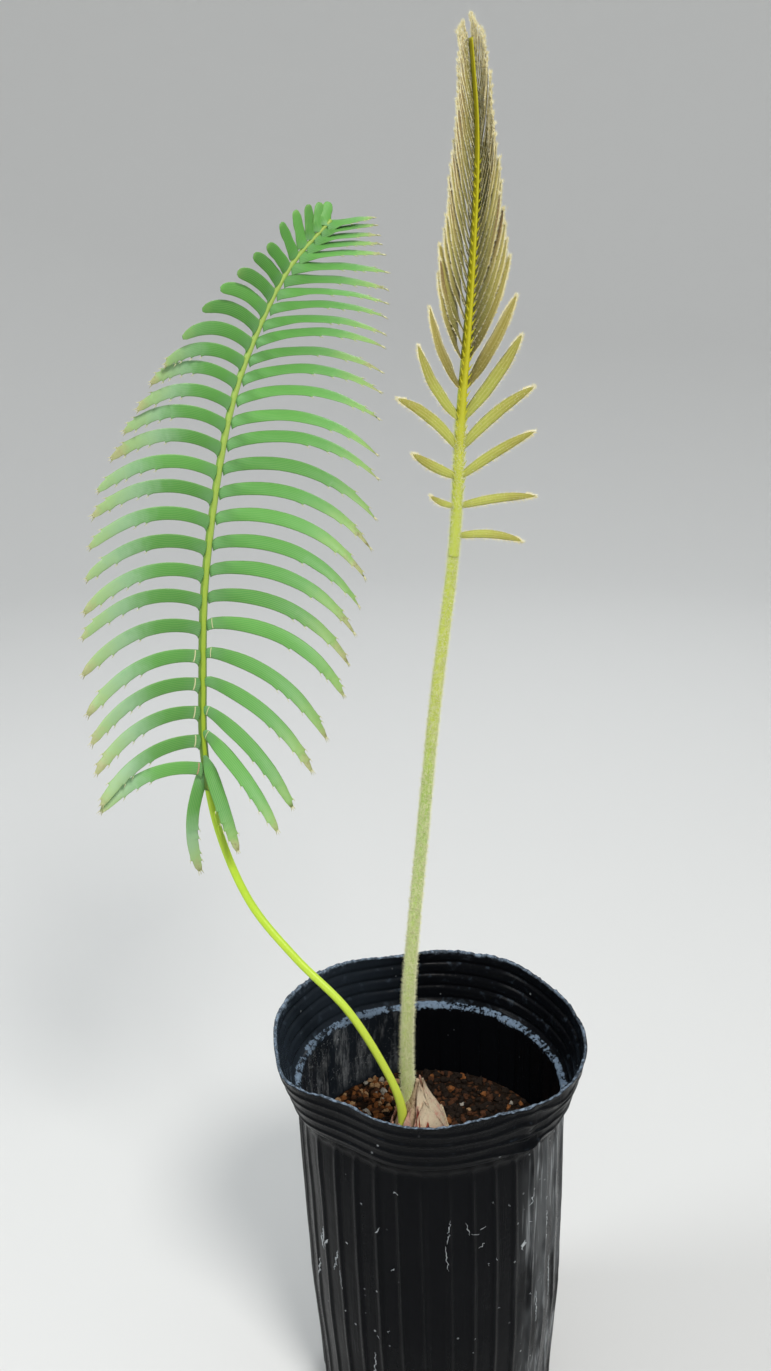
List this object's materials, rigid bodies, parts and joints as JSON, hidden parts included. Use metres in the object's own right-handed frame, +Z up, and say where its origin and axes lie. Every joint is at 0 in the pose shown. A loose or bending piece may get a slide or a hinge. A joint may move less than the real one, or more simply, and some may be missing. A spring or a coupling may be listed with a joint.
{
  "type": "potted dioon stevensonii",
  "caption": "Young cycad with a full-grown feather frond and a second frond still opening as a spear, in a tall thin-walled black nursery pot filled with granular mix.",
  "frame": {"origin": "centre of the pot's flat underside, where the pot stands", "axes": "+Z up along the plant's height, -Y towards the side that shows the upper faces of both fronds, +X to the right of that view"},
  "size_m": [0.1782, 0.1193, 0.5226],
  "materials": {
    "pot_plastic": "soft black moulded film, glossy with whitish scratches and dust",
    "growing_mix": "matt orange-brown clay granules",
    "dry_scale": "dry papery pinkish-tan scale leaves",
    "green_stalk": "smooth yellow-green stalk",
    "green_leaf": "leathery green leaflets with pale tips",
    "woolly_stalk": "pale green stalk with loose whitish wool",
    "young_leaf": "soft bronze-green leaflets with a cream fringe"
  },
  "bodies": {
    "root": {"pot": "pot_plastic", "soil": "growing_mix", "stem_crown": "dry_scale", "mature_frond_stalk": "green_stalk", "mature_frond_blade": "green_leaf", "young_frond_stalk": "woolly_stalk", "young_frond_blade": "young_leaf"}
  },
  "joints": []
}
